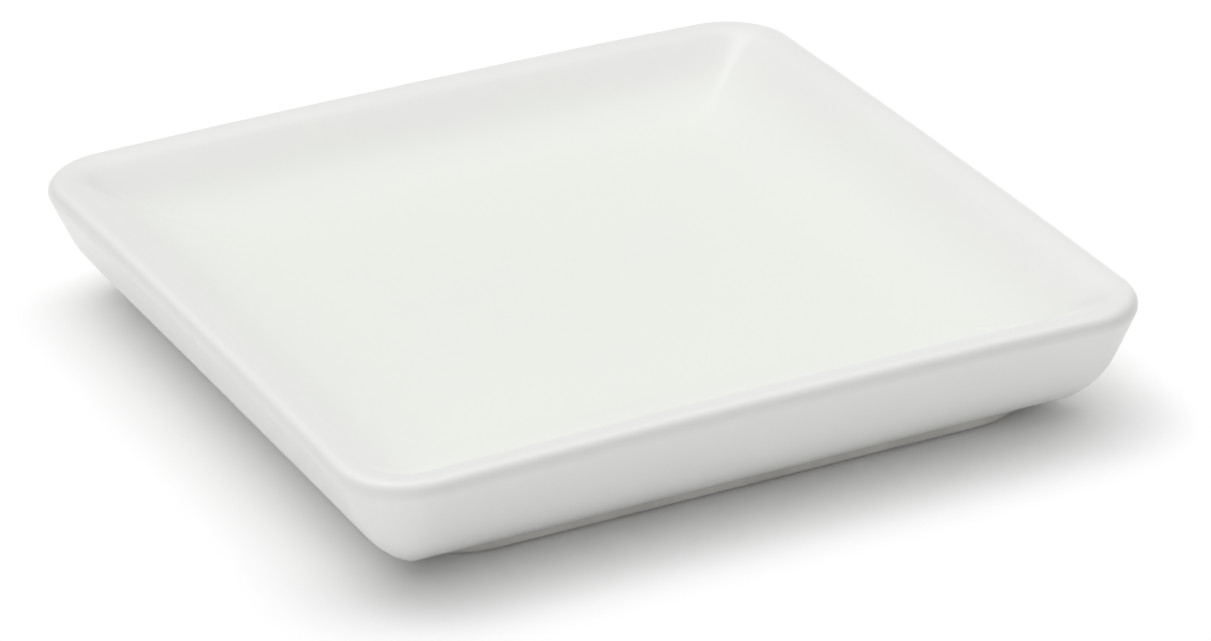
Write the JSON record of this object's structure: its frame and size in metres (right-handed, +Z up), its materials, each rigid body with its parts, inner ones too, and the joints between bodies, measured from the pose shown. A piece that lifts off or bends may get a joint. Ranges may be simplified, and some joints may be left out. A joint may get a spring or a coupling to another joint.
{
  "type": "square tray",
  "caption": "Small shallow square tray of white glazed porcelain with rounded corners, a rounded rim, a gently dished well and walls that curve in under to a low bare foot ring.",
  "frame": {"origin": "on the table under the middle of the tray, in the plane of the foot ring's underside", "axes": "+Z up out of the well; +X and +Y along the two pairs of sides, which are alike"},
  "size_m": [0.11, 0.11, 0.0172],
  "materials": {
    "porcelain": "matt bare fired porcelain",
    "glaze": "glossy clear white glaze"
  },
  "bodies": {
    "root": {"porcelain_body": "porcelain", "glaze_coat": "glaze", "base_glaze": "glaze"}
  },
  "joints": []
}
